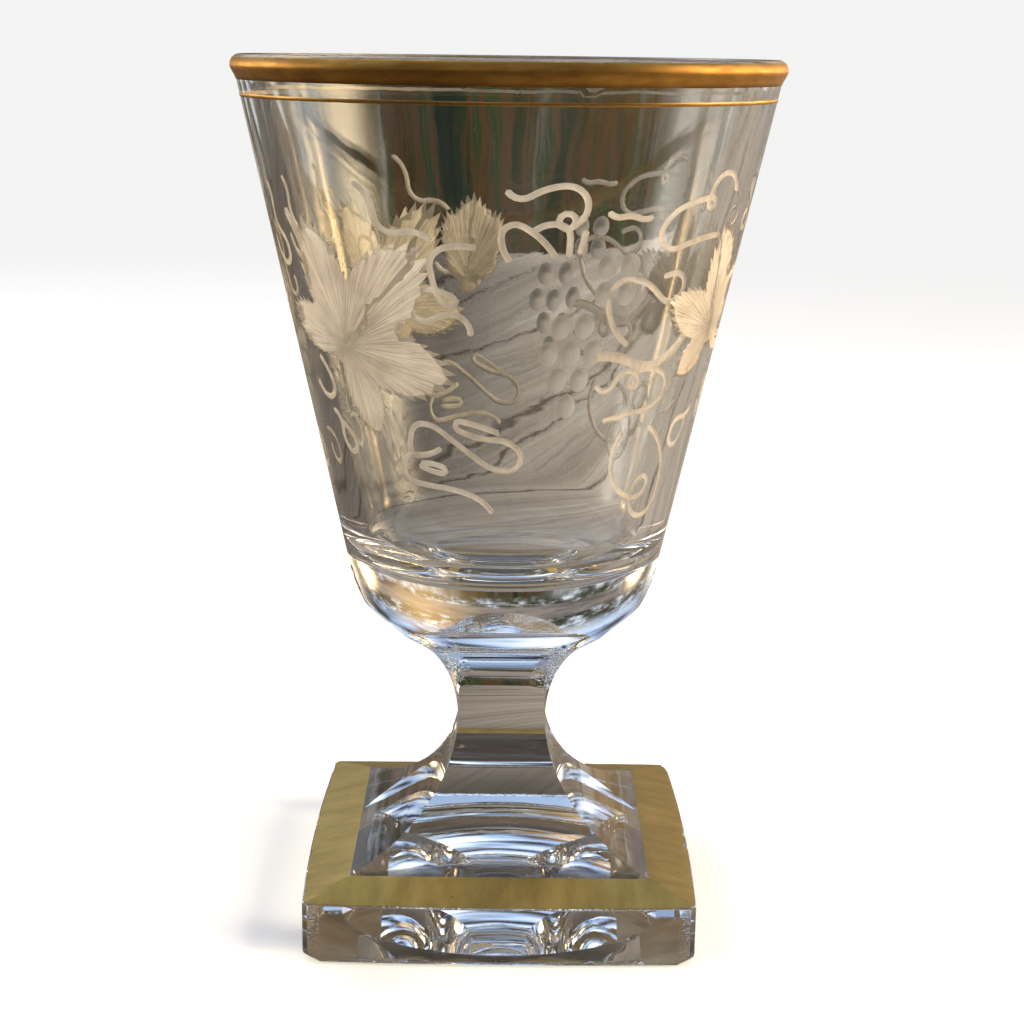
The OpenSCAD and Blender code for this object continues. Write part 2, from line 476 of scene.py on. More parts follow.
STROKES = (
    (57, 110.5, 180, ((18, 9), (-140, 6), (-40, 4), (-15, 5), (-290, 3.8), (0, 2), (-100, 5), (-50, 3))),
    (31, 95.5, 145, ((-50, 8), (-90, 4), (-45, 5), (0, 2.5), (95, 4), (130, 4.5), (10, 2))),
    (24, 89.5, -65, ((140, 3.8), (-145, 6), (-210, 3.2), (-70, 2.5), (-40, 5), (-110, 5), (-35, 3), (5, 8))),
    (34, 82, -125, ((60, 7), (75, 9), (80, 2.4), (120, 3), (70, 4), (80, 5), (85, 6), (35, 6), (30, 7))),
    (-18, 80, 212, ((-35, 5), (175, 6.5), (5, 5), (-15, 5), (-35, 4.5))),
    (-27, 79.5, 95, ((-30, 3), (-65, 2.5), (-35, 3), (0, 8), (45, 5), (125, 4), (45, 4), (-25, 6),
                     (-165, 2), (-10, 6))),
    (-24, 77.5, 12, ((-35, 4), (-160, 1.2), (-20, 4.2))),
    (-69, 117, -50, ((-60, 3.5), (80, 5), (-65, 3), (-115, 4), (-60, 4))),
    (-62, 87.5, -70, ((75, 4), (110, 4), (25, 4))),
    (-56, 83.5, -10, ((-95, 3.5), (70, 3.5), (155, 3.5), (40, 4))),
    (-23, 102, 60, ((-70, 4), (-20, 3), (-170, 2), (-60, 3), (0, 3), (-85, 4), (-25, 4))),
    (-23, 100.5, -75, ((110, 4), (-40, 3), (-90, 4))),
    (22, 114.5, -45, ((60, 2.2), (-40, 2), (45, 2.2))),
    (-34, 118, -30, ((-60, 5), (110, 5), (-60, 4))),
    (72, 118, -80, ((50, 4), (-150, 6), (-200, 5))),
    (66, 84, 230, ((-60, 4), (100, 4), (140, 5), (60, 4))),
    (-84, 110, -30, ((-90, 6), (60, 5), (190, 6))),
    (-80, 78, 20, ((-100, 6), (-210, 7))),
)
STALKS = (
    (22, 94, 5, ((-32, 7), (60, 7), (25, 6))),
    (-60, 113, -50, ((-30, 7), (50, 9))),
)


def half_frieze(mirrored, seed):
    """The cuts of one half; the far half is the mirror image with small random changes."""
    rng = random.Random(seed)
    sign = -1 if mirrored else 1

    def flip(angle, about):
        return about - angle if mirrored else angle

    def shaken(size):
        return rng.uniform(-size, size) if mirrored else 0.0

    cuts = []
    for leaf in LEAVES + (FAR_LEAF,) * mirrored:
        bearing, z, size, aim = leaf
        lobes = FAN if leaf is FAR_LEAF else LOBES
        size *= 1 + shaken(0.05)
        cuts.append(leaf_cut(flip(bearing, -180), z, size, flip(aim, 180) + shaken(8), lobes))
    for bearing, z, rows in BUNCHES:
        for r, count in enumerate(rows):
            for k in range(count):
                side = (k - (count - 1) / 2) * GRAPE_PITCH + shaken(0.3)
                lift = z - GRAPE_DROP * r + shaken(0.3)
                at_side = flip(bearing + degrees(side / UNROLL), -180)
                cuts.append(grape_cut(at_side, lift, rng.uniform(-12, 12)))
    drawn = STROKES if mirrored else FRONT_STROKES + STROKES
    for chains, width in ((drawn, TENDRIL_WIDTH), (STALKS, STALK_WIDTH)):
        for bearing, z, heading, arcs in chains:
            curls = [(sign * turn * (1 + shaken(0.06)), length * (1 + shaken(0.06))) for turn, length in arcs]
            cuts.append(stroke_cut(flip(bearing, -180), z, flip(heading, 180) + shaken(6), curls, width))
    return cuts


def cut_depth(cuts, p):
    """Depth, kind and grain of the cutting at points p."""
    depth, kind = np.zeros(len(p)), np.zeros(len(p), int)
    grain = np.zeros((len(p), 3))
    for cut in cuts:
        near = np.nonzero(((p > cut.low) & (p < cut.high)).all(1))[0]
        if not len(near):
            continue
        d = cut.depth(p[near])
        deeper = d > depth[near] + 1e-4
        chosen = near[deeper]
        depth[chosen] = d[deeper]
        kind[chosen] = cut.kind
        grain[chosen] = cut.grain(p[chosen])
    return depth, kind, grain


NET_GAP, NET_ROW, NET_CLEARANCE = 1.7, 0.87, 0.62


def frieze_net(cuts, ring_angles):
    """Triangles over the unrolled wall, whose edges follow the outline of every cut."""
    bottom, top = RIDGE_Z, SWELL_Z
    points, edges = [], []

    def add(line, closed):
        start = len(points)
        points.extend(map(tuple, line))
        edges.extend((start + i, start + i + 1) for i in range(len(line) - 1))
        if closed:
            edges.append((start + len(line) - 1, start))

    us = [a * UNROLL for a in ring_angles] + [TAU * UNROLL]
    zs = np.linspace(bottom, top, 50)
    border = [(u, bottom) for u in us] + [(us[-1], z) for z in zs[1:]]
    border += [(u, top) for u in reversed(us[:-1])] + [(0.0, z) for z in reversed(zs[1:-1])]
    add(border, True)
    for cut in cuts:
        add(cut.outline, True)
        for line in cut.lines:
            add(line, False)
        points.extend(map(tuple, cut.points))
    tree = KDTree(len(points))
    for i, (u, z) in enumerate(points):
        tree.insert((u, z, 0), i)
    tree.balance()
    rows = int((top - bottom) / NET_GAP / NET_ROW)
    count = int(TAU * UNROLL / NET_GAP)
    for r in range(1, rows):
        z = bottom + (top - bottom) * r / rows
        for c in range(count):
            u = (c + (0.5 if r % 2 else 0.25)) * TAU * UNROLL / count
            if tree.find((u, z, 0))[2] > NET_CLEARANCE:
                points.append((u, z))
    made = delaunay_2d_cdt([Vector(p) for p in points], edges, [], 0, 1e-4, False)
    return np.array([tuple(v) for v in made[0]]), made[2]


# ---- bowl
CUT_ROWS, LIP_ROWS = 10, 9
WORN_RISE, UNEVEN = 4.5, 0.05
BOWL_JOINT_FINISH = 4
SWELL_H = 2


def swell_point(s):
    """Radius and height on the swelling under the lip, from 0 at its foot to 1 at the bead."""
    z = SWELL_Z + SWELL_H * s
    return wall_r(z) + BEAD_OUT * sin(QUARTER * s) ** 2, z


def lip_point(b):
    """Radius and height on the outer rounding of the lip, b up from level."""
    return RIM_R - LIP_OUT + LIP_OUT * cos(b), BEAD_Z + LIP_H * sin(b)


def add_shoulder(skin, base):
    """The underside of the bowl: four hollow cuts that rise into the round shoulder, and the joint."""
    angles = [a for a, _ in base]

    def arch(column):
        """Height at which a column leaves the hollow cut for the shoulder."""
        if on_corner(column) or column % SIDE_COLUMNS in (0, 2 * FACE_COLUMNS):
            return TOP_JOINT
        phi = off_middle(angles[column])
        return bisect(lambda z: shoulder_r(z) * cos(phi) > cut_w(z), TOP_JOINT, WAIST_Z + HIGH_CUT_R)

    def cut_r(column, z):
        """Radius of the hollow cut at a column, or of the stem's section where the bowl meets it."""
        return base[column][1] if z == TOP_JOINT else cut_w(z) / cos(off_middle(angles[column]))

    arches = [arch(c) for c in range(len(angles))]
    worn = ripple(3, 5, 4)
    rows = []
    for k in range(CUT_ROWS + 1):
        heights = [TOP_JOINT + (top - TOP_JOINT) * k / CUT_ROWS for top in arches]
        rows.append([skin.at(a, cut_r(c, z), z, ground=0.0)
                     for c, (a, z) in enumerate(zip(angles, heights))])
    skin.grid(rows, lambda c: HOLLOW_CUTS + c // SIDE_COLUMNS)
    skin.fan(rows[0][::-1], TOP_JOINT, JOINT, BOWL_JOINT_FINISH)

    rounded = [EDGE_CZ - EDGE_R * sin(lean) for lean in np.linspace(UNDER_LEAN, BAND_LOW_LEAN, 7)]
    levels = [*np.linspace(TOP_JOINT, EDGE_LOW_Z, 5)[:-1], *rounded,
              *np.linspace(BAND_LOW_Z, RIDGE_Z, 10)[1:]]

    def on_shoulder(c, a, level):
        z = max(level, arches[c])
        r = cut_r(c, z) if z == arches[c] else shoulder_r(z)
        rough = max(0.0, 1 - (z - TOP_JOINT) / WORN_RISE) * (0.6 + 0.4 * worn(a))
        return skin.at(a, r, z, ground=max(0.0, rough))

    skin.grid([[on_shoulder(c, a, float(z)) for c, a in enumerate(angles)] for z in levels], SHOULDER)


def add_wall(skin, cuts, ring_angles):
    """The cone of the bowl with the frieze cut into it. A point beside polished glass stays on the cone."""
    flat_points, triangles = frieze_net(cuts, ring_angles)
    depth, _, grain = cut_depth(cuts, flat_points)
    _, kinds, _ = cut_depth(cuts, np.array([flat_points[t].mean(0) for t in triangles]))
    for t, kind in zip(triangles, kinds):
        if kind == POLISHED:
            depth[t] = 0.0
    numbers = []
    for (u, z), d, g in zip(flat_points, depth, grain):
        r = wall_r(z) - d * cos(WALL_ANGLE)
        numbers.append(skin.at(u / UNROLL, r, z + d * sin(WALL_ANGLE), grain=tuple(g)))
    for t, kind in zip(triangles, kinds):
        skin.face([numbers[i] for i in t], WALL if kind == POLISHED else FRIEZE + int(kind), int(kind))


def add_mouth(skin, ring_angles):
    """The swelling, the lip, the inside wall, the fillet and the dished floor."""
    wall_end = FILLET_CZ - FILLET_R * sin(WALL_ANGLE)
    swirl, sway = ripple(11, 5, 2), ripple(12, 6, 1)

    def blown(a, z):
        """The slight unevenness of the inside, none at the lip and at the fillet."""
        share = (BEAD_Z - z) / (BEAD_Z - wall_end)
        fade = sin(pi * share) ** 0.5 if 0 < share < 1 else 0.0
        return UNEVEN * fade * (swirl(a + 0.6 * share) + 0.6 * sway(3 * share + 0.4 * sin(2 * a)))

    def lathe(profile, surface, wobble=lambda a, z: 0.0):
        rows = [[skin.at(a, r + wobble(a, z), z) for a in ring_angles] for r, z in profile]
        skin.grid(rows, surface)
        return rows

    quarter = [QUARTER * k / LIP_ROWS for k in range(LIP_ROWS + 1)]
    lathe([swell_point(k / 6) for k in range(7)], MOUTH)
    lathe([lip_point(b) for b in quarter] + [
        (INNER_RIM_R + LIP_IN * (1 - cos(b)), BEAD_Z + LIP_H * sin(b)) for b in quarter[::-1]], MOUTH)
    lathe([(inner_r(z), z) for z in np.linspace(BEAD_Z, wall_end, 36)], MOUTH, blown)
    lathe([(FILLET_CR + FILLET_R * cos(b), FILLET_CZ + FILLET_R * sin(b))
           for b in np.linspace(-WALL_ANGLE, FILLET_LEAN - QUARTER, 15)], MOUTH)
    lathe([(DISH_FLAT + DISH_ARC * sin(b), FLOOR_Z + DISH_ARC * (1 - cos(b)))
           for b in np.linspace(DISH_LEAN, 0, 10)], DISH)
    rows = lathe([(DISH_FLAT * s, FLOOR_Z) for s in (1, 0.7, 0.4)], DISH)
    skin.fan(rows[-1], FLOOR_Z, DISH)


def bowl_skin(cuts):
    skin = Skin()
    base = stem_section(TOP_JOINT)
    add_shoulder(skin, base)
    ring_angles = sorted(a % TAU for a, _ in base)
    ring_angles[0] = 0.0
    add_wall(skin, cuts, ring_angles)
    add_mouth(skin, ring_angles)
    return skin


# ---- stem and foot
JOINT_FINISH = 1
STEM_WORN_Z = 36


def corner_surface(first):
    """A surface for each of the four sides, then one for each corner."""
    return lambda c: (first + 4 if on_corner(c) else first) + c // SIDE_COLUMNS


def stem_skin():
    skin = Skin()
    worn = ripple(5, 6, 3)

    def wear(a, z):
        """How rough the corners are, from STEM_WORN_Z up."""
        edge = max(0.0, 1 - abs(a / QUARTER % 1 - 0.5) * 6)
        return max(0.0, edge * max(0.0, min(1, (z - STEM_WORN_Z) / 6)) * (0.75 + 0.25 * worn(a + z / 9)))

    levels = (*np.linspace(LOW_JOINT, NECK_Z, 24), *np.linspace(NECK_Z, TOP_JOINT, 20)[1:])
    rows = [[skin.at(a, r, z, ground=wear(a, z)) for a, r in stem_section(z)] for z in map(float, levels)]
    skin.grid(rows, corner_surface(HOLLOW_CUTS))
    skin.fan(rows[0][::-1], LOW_JOINT, JOINT, JOINT_FINISH)
    skin.fan(rows[-1], TOP_JOINT, JOINT + 1, JOINT_FINISH)
    return skin


# Chips in the top edge of the foot: angle, depth and half width in radians
CHIPS = random.Random(21)
CHIP_LIST = [(CHIPS.uniform(0, TAU), CHIPS.uniform(0.25, 0.7), CHIPS.uniform(0.006, 0.016))
             for _ in range(26)]
EDGE_WEAR = ripple(22, 30, 9)


def chip(a):
    """How far the worn top edge of the foot is rounded back at an angle."""
    size = 0.16 + 0.06 * EDGE_WEAR(a)
    for place, deep, width in CHIP_LIST:
        off = (a - place + pi) % TAU - pi
        size += deep * exp(-(off / width) ** 2)
    return min(0.9, max(0.08, size))


def slope_z(a, r):
    """Height of the sloping top, which falls square to the nearest side."""
    return GILT_Z - GILT_FALL * (r * cos(off_middle(a)) - GILT_IN)


EDGE_RING = section(side_swell, CORNER_R)
# The worn edge: its width on the slope and on the side, and how far down a chip goes for its depth
EDGE_BACK, EDGE_DOWN, CHIP_DOWN = 0.15, 0.12, 0.8
REST_EDGE = 0.35
DOME_ROWS = 13


def foot_skin():
    skin = Skin()
    rows = []
    for half in np.linspace(cut_w(LOW_JOINT), GILT_IN, 11):
        z = WAIST_Z - sqrt(CUT_R ** 2 - (CUT_Y - half) ** 2)
        rows.append(skin.ring(section(flat(half), 2 * CUT_R), z))
    skin.fan(rows[0], LOW_JOINT, JOINT, JOINT_FINISH)
    skin.grid(rows[::-1], corner_surface(HOLLOW_CUTS))

    def on_slope(back, **marks):
        """A ring on the sloping top, some way in from the worn edge."""
        return [skin.at(a, r - chip(a) - back, slope_z(a, r - chip(a) - back), **marks)
                for a, r in EDGE_RING]

    def on_side(drop, **marks):
        """A ring on the sides, some way down from the worn edge."""
        return [skin.at(a, r, slope_z(a, r) - CHIP_DOWN * chip(a) - drop, **marks) for a, r in EDGE_RING]

    edge = on_slope(0, ground=0.6)
    skin.grid([edge, on_slope(EDGE_BACK), rows[-1]], corner_surface(SLOPES))
    side_top = on_side(0, ground=0.4)
    skin.grid([side_top, edge], SIDE_EDGE)
    side_rows = [side_top, on_side(EDGE_DOWN)]
    for share in (k / 6 for k in range(1, 7)):
        side_rows.append([skin.at(a, r, (slope_z(a, r) - 1) * (1 - share) + CORNER_LOW_H * share)
                          for a, r in EDGE_RING])
    skin.grid(side_rows[::-1], corner_surface(SIDES))
    low_rows = []
    for k in range(4):
        z = CORNER_LOW_H - (CORNER_LOW_H - REST_EDGE) * k / 3
        corner = CORNER_LOW_R + (CORNER_R - CORNER_LOW_R) * z / CORNER_LOW_H
        low_rows.append(skin.ring(section(side_swell, corner), z))
    skin.grid(low_rows[::-1], corner_surface(BEVELS))
    rest_ring = [(a, r - REST_EDGE) for a, r in section(side_swell, CORNER_LOW_R + 0.3)]
    rest = skin.ring(rest_ring, 0.0, ground=0.3)
    skin.grid([rest, low_rows[-1]], REST)
    hollow = []
    for k in range(DOME_ROWS):
        r = DOME_HALF * (1 - k / DOME_ROWS)
        z = sqrt(DOME_R ** 2 - r ** 2) - DOME_R + DOME_H
        hollow.append(skin.ring([(a, r) for a, _ in EDGE_RING], z))
    inset = skin.ring([(a, DOME_HALF + 0.7 * (r - DOME_HALF)) for a, r in rest_ring], 0.0)
    skin.grid([hollow[0], inset, rest], UNDERSIDE)
    skin.grid(hollow[::-1], DOME)
    skin.fan(hollow[-1][::-1], DOME_H, DOME)
    return skin


# ---- gilding
BACK_FINISH = 1
GOLD_WAVE = 0.012


def sheet_skin(rows, closed):
    """A thin closed layer; rows of a point on the glass, the way out of it, a thickness and a brush mark."""
    skin = Skin()

    def layer(out_by):
        return [[skin.point([x + d * out_by(thick) for x, d in zip(place, way)], brush=mark)
                 for place, way, thick, mark in row] for row in rows]

    tops, backs = layer(lambda thick: thick), layer(lambda thick: -GOLD_IN)
    skin.grid(tops, GOLD_FRONT, closed=closed)
    skin.grid(backs[::-1], GOLD_BACK, BACK_FINISH, closed)
    skin.grid([backs[0], tops[0]], GOLD_RIM, closed=closed)
    skin.grid([tops[-1], backs[-1]], GOLD_RIM, closed=closed)
    if not closed:
        for side in (0, -1):
            ends = [[r[side] for r in backs], [r[side] for r in tops]]
            skin.grid(ends if side else ends[::-1], GOLD_END, closed=False)
    return skin


RIM_COLUMNS, THIN_RIM = 360, 0.02


def ring_gold(profile, seed, ragged):
    """A band round the bowl; profile gives radius and height on the glass and the way out of it."""
    low_edge, high_edge = ripple(seed, 60, 12), ripple(seed + 1, 60, 12)
    thick = ripple(seed + 2, 24, 5)
    last = len(profile) - 1
    rows = []
    for k, (r, z, nr, nz) in enumerate(profile):
        row = []
        for c in range(RIM_COLUMNS):
            a = TAU * c / RIM_COLUMNS
            drift = ragged * (low_edge(a) if k == 0 else high_edge(a) if k == last else 0.0)
            out = THIN_RIM if k in (0, last) else GOLD_OUT + GOLD_WAVE * thick(a + k)
            place = polar(a, r + drift * CONE, z + drift)
            row.append((place, polar(a, nr, nz), out, (a * RIM_R, z, seed)))
        rows.append(row)
    return sheet_skin(rows, True)


def rim_band_profile():
    out = []
    for s in np.linspace(0, 1, 9):
        lean = CONE + BEAD_OUT * sin(pi * s) * QUARTER / SWELL_H
        size = hypot(1, lean)
        out.append((*swell_point(s), 1 / size, -lean / size))
    for b in np.linspace(0, GILT_LIP_ANGLE, 9)[1:]:
        out.append((*lip_point(b), cos(b), sin(b)))
    return out


def line_profile():
    nr, nz = cos(WALL_ANGLE), -sin(WALL_ANGLE)
    margin = 0.06
    return [(wall_r(z), z, nr, nz) for z in np.linspace(LINE_LOW + margin, LINE_TOP - margin, 5)]


STRIP_ROWS, STRIP_RIM = 9, 0.015


def foot_gold(side, seed):
    """One mitred strip on the slope of the foot; side counts quarter turns from +X."""
    inner_ring = section(flat(GILT_IN), 2 * CUT_R)
    half = SIDE_COLUMNS // 2
    columns = [(side * SIDE_COLUMNS + FACE_COLUMNS - k) % len(EDGE_RING) for k in range(-half, half + 1)]
    cos_side, sin_side = cos(side * QUARTER), sin(side * QUARTER)
    tilt = hypot(1, GILT_FALL)
    way = (cos_side * GILT_FALL / tilt, sin_side * GILT_FALL / tilt, 1 / tilt)
    ragged, wavy = ripple(seed, 40, 30), ripple(seed + 1, 18, 6)
    rows = []
    for k in range(STRIP_ROWS):
        share = k / (STRIP_ROWS - 1)
        row = []
        for n, c in enumerate(columns):
            a_in, r_in = inner_ring[c]
            a_out, r_out = EDGE_RING[c]
            start = polar(a_in, r_in + 0.07 * ragged(a_in), 0)
            end = polar(a_out, r_out - chip(a_out) - 0.03, 0)
            x, y = (start[i] + (end[i] - start[i]) * share for i in range(2))
            reach = x * cos_side + y * sin_side
            rim = k in (0, STRIP_ROWS - 1) or n in (0, len(columns) - 1)
            out = STRIP_RIM if rim else GOLD_OUT + GOLD_WAVE * wavy(a_in * 3 + k)
            place = (x, y, GILT_Z - GILT_FALL * (reach - GILT_IN))
            row.append((place, way, out, (y * cos_side - x * sin_side, reach, seed)))
        rows.append(row)
    return sheet_skin(rows, False)


# ---- materials
GLASS_INDEX = 1.52
FINE_RELIEF, GLASS_RELIEF, CUT_RELIEF = 0.0001, 0.0005, 0.0003


class Nodes:
    """A short way to write a node tree."""

    def __init__(self, name, world=False):
        self.owner = bpy.data.worlds.new(name) if world else bpy.data.materials.new(name)
        self.owner.use_nodes = True
        self.tree = self.owner.node_tree
        self.tree.nodes.clear()

    def node(self, kind, inputs, **settings):
        node = self.tree.nodes.new("ShaderNode" + kind)
        for key, value in settings.items():
            setattr(node, key, value)
        for key, value in inputs.items():
            if isinstance(value, bpy.types.NodeSocket):
                self.tree.links.new(value, node.inputs[key])
            else:
                node.inputs[key].default_value = value
        return node

    def add(self, kind, inputs, output=0, **settings):
        return self.node(kind, inputs, **settings).outputs[output]

    def math(self, operation, *values):
        return self.add("Math", dict(enumerate(values)), operation=operation)

    def plus(self, first, second):
        return self.math("ADD", first, second)

    def times(self, first, second):
        return self.math("MULTIPLY", first, second)

    def place(self):
        """Where a point lies on its object, in metres."""
        return self.add("TexCoord", {}, "Object")

    def mark(self, name, output="Vector"):
        """What the mesh stores under a name."""
        return self.add("Attribute", {}, output, attribute_name=name)

    def parts(self, vector):
        return self.node("SeparateXYZ", {"Vector": vector}).outputs

    def moved(self, vector, by):
        return self.add("VectorMath", {0: vector, 1: by})

    def scaled(self, vector, size):
        return self.add("VectorMath", {0: vector, "Scale": size}, operation="SCALE")

    def length(self, vector):
        return self.add("VectorMath", {0: vector}, "Value", operation="LENGTH")

    def noise(self, vector, scale, detail=3, rough=0.55):
        return self.add("TexNoise", {"Vector": vector, "Scale": scale, "Detail": detail,
                                     "Roughness": rough}, "Fac")

    def stretch(self, vector, scale):
        return self.add("Mapping", {"Vector": vector, "Scale": scale})

    def ramp(self, value, *stops):
        node = self.node("ValToRGB", {"Fac": value})
        ramp = node.color_ramp
        while len(ramp.elements) < len(stops):
            ramp.elements.new(0.5)
        for element, (place, colour) in zip(ramp.elements, stops):
            element.position = place
            element.color = (*colour, 1)
        return node.outputs[0]

    def span(self, value, low_end, high_end, from_low=0.0, from_high=1.0, **settings):
        """The value carried from one range to another, and held at the ends."""
        return self.add("MapRange", {"Value": value, "From Min": from_low, "From Max": from_high,
                                     "To Min": low_end, "To Max": high_end}, **settings)

    def blend(self, share, first, second):
        """A colour mix, whose colour sockets are numbers 6 and 7, and 2 on the way out."""
        return self.add("Mix", {"Factor": share, 6: first, 7: second}, 2, data_type="RGBA")

    def bump(self, height, strength, distance):
        return self.add("Bump", {"Height": height, "Strength": strength, "Distance": distance})

    def surface(self, colour, roughness, bump, **more):
        return self.add("BsdfPrincipled", {
            "Base Color": colour, "Roughness": roughness, "Normal": bump, **more})

    def glass(self, colour, roughness, bump, clearness):
        return self.surface(colour, roughness, bump, **{"IOR": GLASS_INDEX, "Transmission Weight": clearness})

    def shine(self, colour, strength=1.0, kind="Emission"):
        return self.add(kind, {"Color": colour, "Strength": strength})

    def mix(self, share, first, second):
        return self.add("MixShader", {0: share, 1: first, 2: second})

    def finish(self, shader, kind="OutputMaterial"):
        self.node(kind, {"Surface": shader})
        return self.owner

    def through_shadow(self, shader, tint):
        """Lets light through for shadow rays, since caustics are off."""
        clear = self.add("BsdfTransparent", {"Color": (*tint, 1)})
        return self.mix(self.add("LightPath", {}, "Is Shadow Ray"), shader, clear)


def glass_material():
    """Clear glass with slow waves, fine scratches, and crackle where the ground mark is set."""
    n = Nodes("clear_glass")
    place = n.place()
    tint = n.ramp(n.noise(place, 45), (0.3, (0.955, 0.972, 0.962)), (0.7, (0.985, 0.99, 0.982)))
    waves = n.noise(n.stretch(place, (1, 1, 0.5)), 55, 2)
    scratches = n.math("POWER", n.noise(n.stretch(place, (1.0, 7.0, 1.4)), 900, 1), 9.0)
    crackle = n.add("TexVoronoi", {"Vector": place, "Scale": 1300}, "Distance")
    broken = n.times(n.plus(crackle, n.noise(place, 420, 4)), n.times(n.mark("ground", "Fac"), 0.5))
    height = n.plus(n.plus(n.times(waves, 0.22), n.times(scratches, 0.012)), broken)
    glass = n.glass(tint, 0.012, n.bump(height, 1.0, GLASS_RELIEF), 1.0)
    return n.finish(n.through_shadow(glass, (0.93, 0.95, 0.93)))


def cut_material(name, roughness, clearness, pale, deep, strength):
    """Wheel-cut glass: a scattering surface with hatching that follows the wheel. Its pale and deep colours
    are painted light: a warm cream for painted sunlight, and painted shade along the hatching.
    """
    n = Nodes(name)
    place = n.place()
    hatch = n.noise(n.stretch(n.mark("grain"), (1.6, 0.35, 1)), 2.6, 3, 0.6)
    tone = n.plus(n.times(hatch, 0.65), n.times(n.noise(place, 130, 3), 0.4))
    # Painted light: warm cream for painted sunlight, darker as painted shade along the hatching
    colour = n.ramp(tone, (0.36, deep), (0.62, pale))
    height = n.plus(hatch, n.times(n.noise(place, 2600, 2), 0.25))
    cut = n.glass(colour, roughness, n.bump(height, strength, CUT_RELIEF), clearness)
    return n.finish(n.through_shadow(cut, (0.85, 0.83, 0.78)))


def joint_material():
    """The hot joint between two gathers, where there is no surface to see."""
    n = Nodes("hot_joint")
    return n.finish(n.add("BsdfTransparent", {}))


def gold_back_material():
    """The pale underside of fired gold, seen through the glass it was laid on."""
    n = Nodes("gold_back")
    place = n.place()
    cloud = n.noise(place, 140, 4)
    colour = n.ramp(cloud, (0.35, (0.75, 0.64, 0.46)), (0.65, (0.98, 0.86, 0.66)))
    rough = n.span(cloud, 0.65, 0.5, 0.3, 0.7)
    return n.finish(n.surface(colour, rough, n.bump(n.noise(place, 700, 3), 0.3, FINE_RELIEF), Metallic=1.0))


def gold_material(name, bright, dull, stretch, rough_low, rough_high, edge_z=None):
    """Fired gold, brushed along its length, dulled in patches and worn in specks, darker above edge_z."""
    n = Nodes(name)
    place, brush = n.place(), n.mark("brush")
    streaks = n.noise(n.stretch(brush, stretch), 1.0, 4, 0.6)
    cloud = n.noise(place, 90, 4)
    specks = n.noise(place, 900, 3)
    tone = n.plus(n.times(streaks, 0.6), n.times(cloud, 0.4))
    worn = n.ramp(specks, (0.66, (0, 0, 0)), (0.72, (1, 1, 1)))
    colour = n.blend(n.times(worn, 0.45), n.ramp(tone, (0.34, dull), (0.64, bright)), (0.16, 0.11, 0.05, 1))
    if edge_z is not None:
        level = n.plus(n.parts(brush)["Y"], n.times(cloud, 0.5))
        colour = n.blend(n.span(level, 0.75, 0, edge_z + 0.25, edge_z + 0.9), colour, (0.2, 0.085, 0.02, 1))
    rough = n.span(tone, rough_high, rough_low, 0.3, 0.7)
    height = n.plus(streaks, n.times(specks, 0.3))
    return n.finish(n.surface(colour, rough, n.bump(height, 0.35, FINE_RELIEF), Metallic=1.0))


# ---- make the pieces
clear_glass = glass_material()
# The pale and deep colours of each cut are painted sunlight and painted shade
matte_cut = cut_material("matte_cut", 0.55, 0.45, (1.0, 0.85, 0.64), (0.46, 0.35, 0.24), 1.3)
line_cut = cut_material("line_cut", 0.5, 0.72, (0.97, 0.86, 0.69), (0.58, 0.47, 0.35), 0.8)
lens_cut = cut_material("lens_cut", 0.28, 0.93, (0.97, 0.95, 0.91), (0.88, 0.85, 0.8), 0.15)
hot_joint = joint_material()
gold_back = gold_back_material()
rim_gold = gold_material("rim_gold", (0.86, 0.46, 0.105), (0.5, 0.24, 0.05), (0.2, 0.9, 1),
                         0.36, 0.52, SWELL_Z)
hairline_gold = gold_material("hairline_gold", (0.9, 0.52, 0.15), (0.62, 0.33, 0.08), (0.3, 1.5, 1),
                              0.3, 0.45)
foot_gold_finish = gold_material("foot_gold", (0.64, 0.43, 0.12), (0.43, 0.285, 0.075), (0.3, 0.07, 1),
                                 0.36, 0.5)

cuts = half_frieze(False, 31) + half_frieze(True, 32)
build("bowl_glass", bowl_skin(cuts), [clear_glass, matte_cut, lens_cut, line_cut, hot_joint],
      "bowl", cone_surface=WALL)
build("stem_glass", stem_skin(), [clear_glass, hot_joint], "stem")
build("foot_glass", foot_skin(), [clear_glass, hot_joint], "foot")
build("rim_gold_band", ring_gold(rim_band_profile(), 41, 0.06), [rim_gold, gold_back],
      "rim_gilding")
build("rim_gold_hairline", ring_gold(line_profile(), 51, 0.05), [hairline_gold, gold_back],
      "rim_gold_line")
for turn, side in enumerate(("right", "back", "left", "front")):
    build("foot_gold_" + side, foot_gold(turn, 61 + 3 * turn), [foot_gold_finish, gold_back],
          "foot_gilding_" + side)

# ---- stage, light and camera
BACKDROP = (0.9, 0.9, 0.895, 1)


def plane(name, half, z, material):
    mesh = bpy.data.meshes.new(name)
    corners = ((-1, -1), (1, -1), (1, 1), (-1, 1))
    mesh.from_pydata([(x * half, y * half, z) for x, y in corners], [], [(0, 1, 2, 3)])
    mesh.materials.append(material)
    thing = placed(name, mesh)
    return thing


# Distances on the stage, in metres. A brightness at two ends comes with where its change starts and ends.
FLOOR_FADE = (0.2, 1.1)
BOARD_TURN = radians(32)
# Painted shade on the table card: darker towards the left and towards the near side
LEFT_TO_RIGHT = (0.42, 1.28, -0.05, 0.06)
NEAR_TO_FAR = (0.3, 1, -0.16, -0.05)
# Painted shadow on the table card round the foot, fading out between these distances
FOOT_SHADE = (0.022, 0.06)


def floor_material():
    """Pale paper that fades into the pale backdrop far from the glass."""
    n = Nodes("pale_floor")
    place = n.place()
    paper = n.ramp(n.noise(place, 6), (0.3, (0.82, 0.84, 0.9)), (0.7, (0.85, 0.87, 0.93)))
    near = n.add("BsdfDiffuse", {"Color": paper})
    share = n.span(n.length(place), 0, 1, *FLOOR_FADE, interpolation_type="SMOOTHSTEP")
    return n.finish(n.mix(share, near, n.shine(BACKDROP)))


